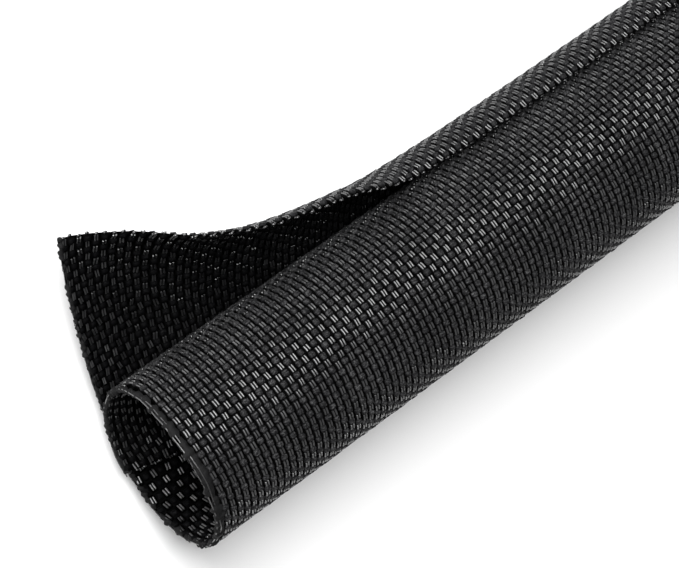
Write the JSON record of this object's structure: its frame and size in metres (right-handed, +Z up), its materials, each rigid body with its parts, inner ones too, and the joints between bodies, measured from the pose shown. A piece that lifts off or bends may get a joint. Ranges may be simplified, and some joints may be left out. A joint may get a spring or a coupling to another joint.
{
  "type": "split braided cable sleeve",
  "caption": "Black woven wrap sleeve for cable bundles: one fabric strip rolled lengthwise into a split tube with a wide overlap, its flap standing open at one end.",
  "frame": {"origin": "middle of the sleeve's outline, on the floor it lies on", "axes": "+X along the tube from its open mouth to its plain far end, +Y to the left of someone who looks into the mouth, +Z up"},
  "size_m": [0.305, 0.0494, 0.0296],
  "materials": {
    "woven_fabric": "satin black monofilament pairs across matte black multifilament yarns"
  },
  "bodies": {
    "root": {"woven_sleeve": "woven_fabric"}
  },
  "joints": []
}
